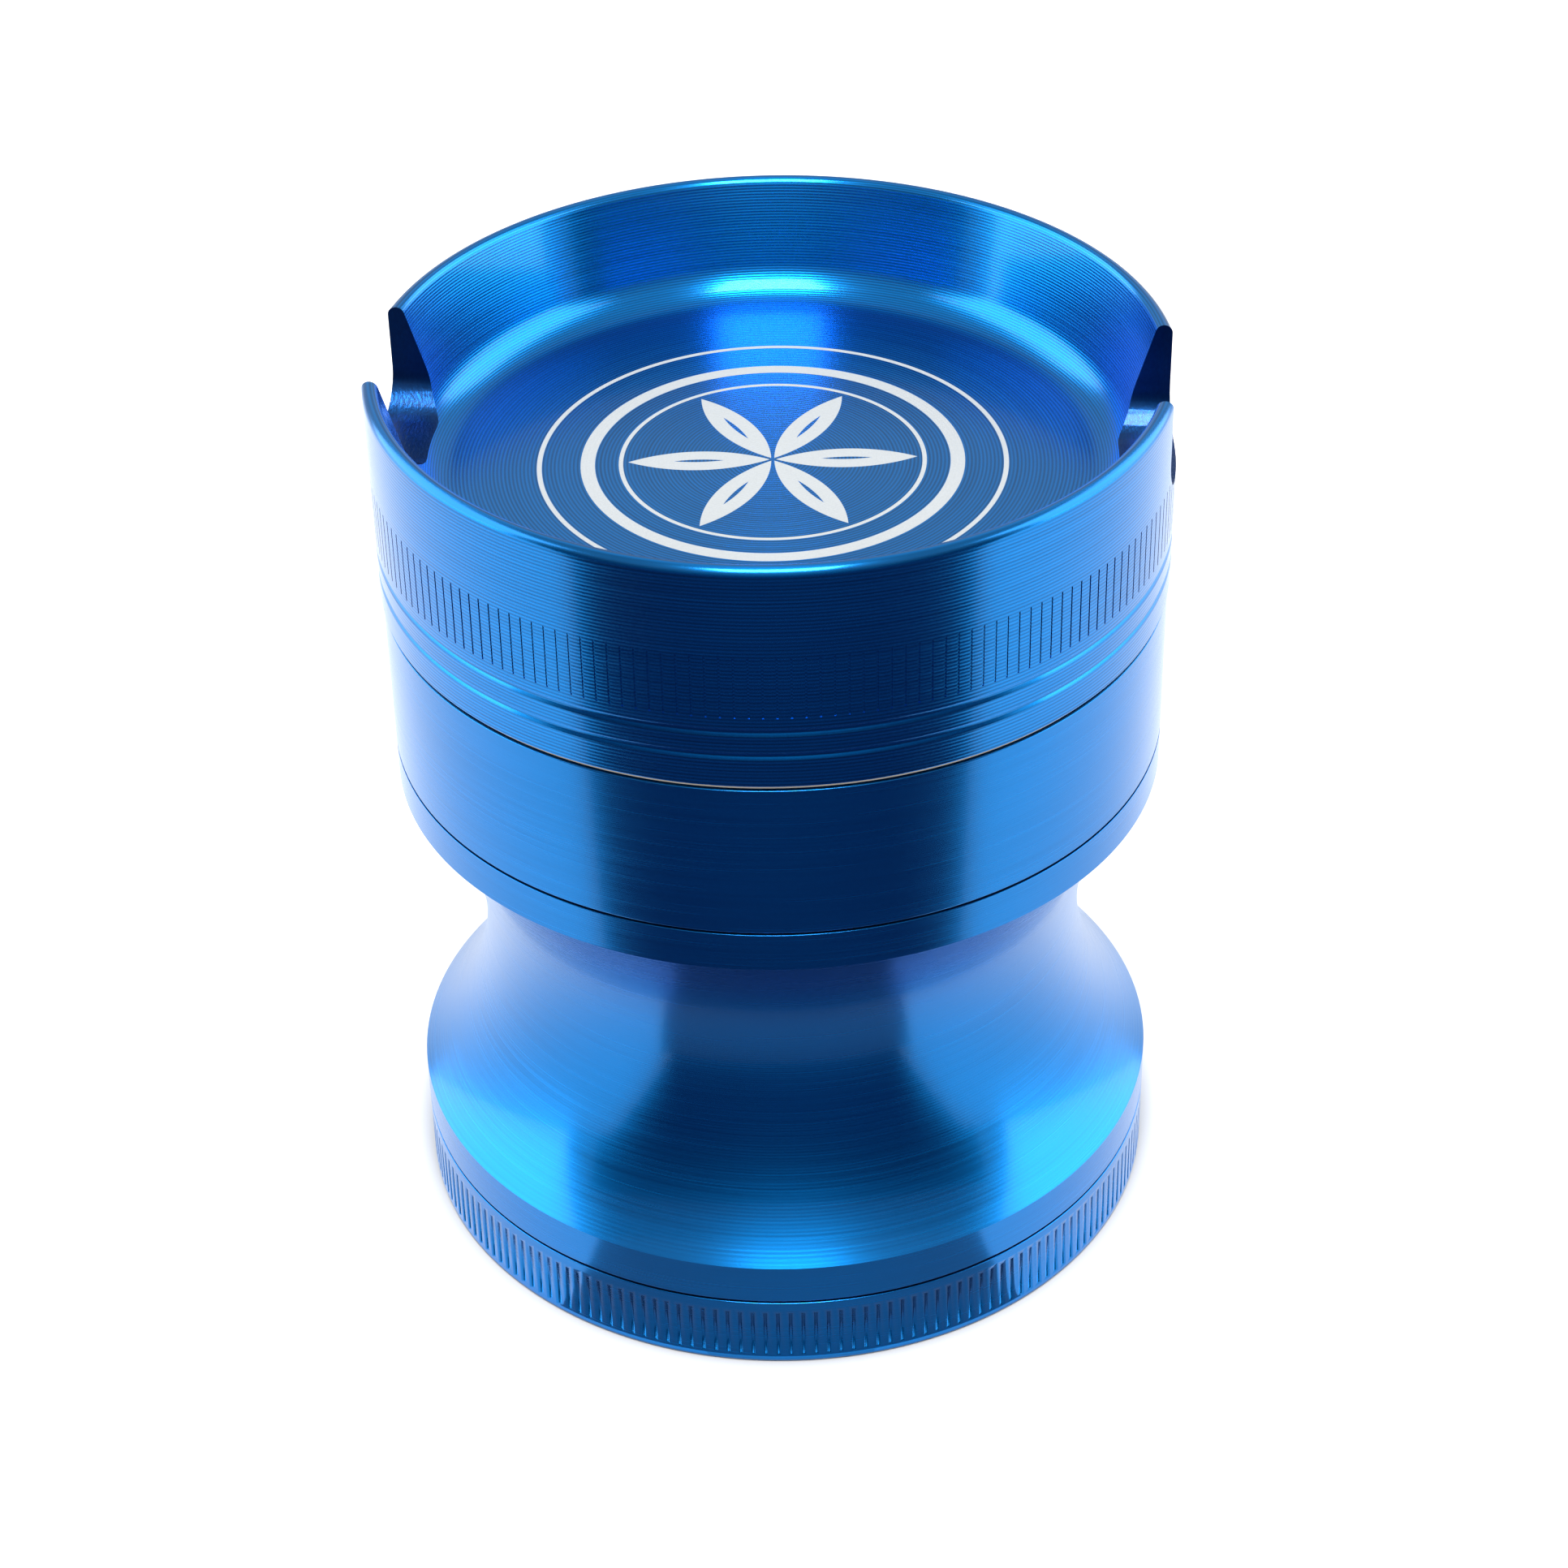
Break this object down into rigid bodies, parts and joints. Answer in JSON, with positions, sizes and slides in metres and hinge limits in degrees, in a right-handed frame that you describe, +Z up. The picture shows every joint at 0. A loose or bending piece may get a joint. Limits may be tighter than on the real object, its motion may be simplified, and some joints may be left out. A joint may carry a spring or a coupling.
{
  "type": "herb grinder",
  "caption": "Waisted metal herb grinder: shallow screw-on base cup, waisted storage body with a screen, toothed grinding chamber and a magnetic lid that is an ashtray bowl.",
  "frame": {"origin": "centre of the flat underside, on the turning axis", "axes": "+Z up the turning axis from the base to the lid's rim; the cigarette rests lie 5.3 degrees off the X axis"},
  "size_m": [0.063, 0.063, 0.0768],
  "materials": {
    "base_blue": "blue anodised, turned, knurled edge",
    "body_blue": "blue anodised, fine turned satin",
    "screen_steel": "woven stainless wire",
    "retainer_steel": "turned steel ring",
    "chamber_blue": "blue anodised, fine turned satin",
    "ring_nylon": "natural nylon",
    "magnet_nickel": "nickel-plated magnet",
    "lid_blue": "blue anodised with visible turning grooves and pale engraved rings"
  },
  "bodies": {
    "base": {"base": "base_blue"},
    "screen_retainer": {"screen_retainer": "retainer_steel"},
    "screen": {"screen": "screen_steel"},
    "hourglass_body": {"hourglass_body": "body_blue"},
    "chamber_magnet": {"chamber_magnet": "magnet_nickel"},
    "friction_ring": {"friction_ring": "ring_nylon"},
    "grinding_chamber": {"grinding_chamber": "chamber_blue"},
    "lid_magnet": {"lid_magnet": "magnet_nickel"},
    "ashtray_lid": {"ashtray_lid": "lid_blue"}
  },
  "joints": [
    {"name": "body_lift", "type": "slide", "parent": "base", "child": "screen_retainer", "axis": [0, 0, 1], "range_m": [0, 0.012]},
    {"name": "body_climb", "type": "slide", "parent": "screen_retainer", "child": "screen", "axis": [0, 0, 1], "range_m": [0, 0.00226]},
    {"name": "body_unscrew", "type": "hinge", "parent": "screen", "child": "hourglass_body", "pos_m": [0, 0, 0.0052], "axis": [0, 0, 1], "range_deg": [0, 540]},
    {"name": "chamber_lift", "type": "slide", "parent": "hourglass_body", "child": "chamber_magnet", "axis": [0, 0, 1], "range_m": [0, 0.012]},
    {"name": "chamber_climb", "type": "slide", "parent": "chamber_magnet", "child": "friction_ring", "axis": [0, 0, 1], "range_m": [0, 0.00226]},
    {"name": "chamber_unscrew", "type": "hinge", "parent": "friction_ring", "child": "grinding_chamber", "pos_m": [0, 0, 0.0425], "axis": [0, 0, 1], "range_deg": [0, 540]},
    {"name": "lid_lift", "type": "slide", "parent": "grinding_chamber", "child": "lid_magnet", "axis": [0, 0, 1], "range_m": [0, 0.02]},
    {"name": "lid_spin", "type": "hinge", "parent": "lid_magnet", "child": "ashtray_lid", "pos_m": [0, 0, 0.0573], "axis": [0, 0, 1], "continuous": true}
  ],
  "couplings": [
    {"joint": "body_climb", "follows": "body_unscrew", "m_per_rad": 0.00023873},
    {"joint": "chamber_climb", "follows": "chamber_unscrew", "m_per_rad": 0.00023873}
  ]
}
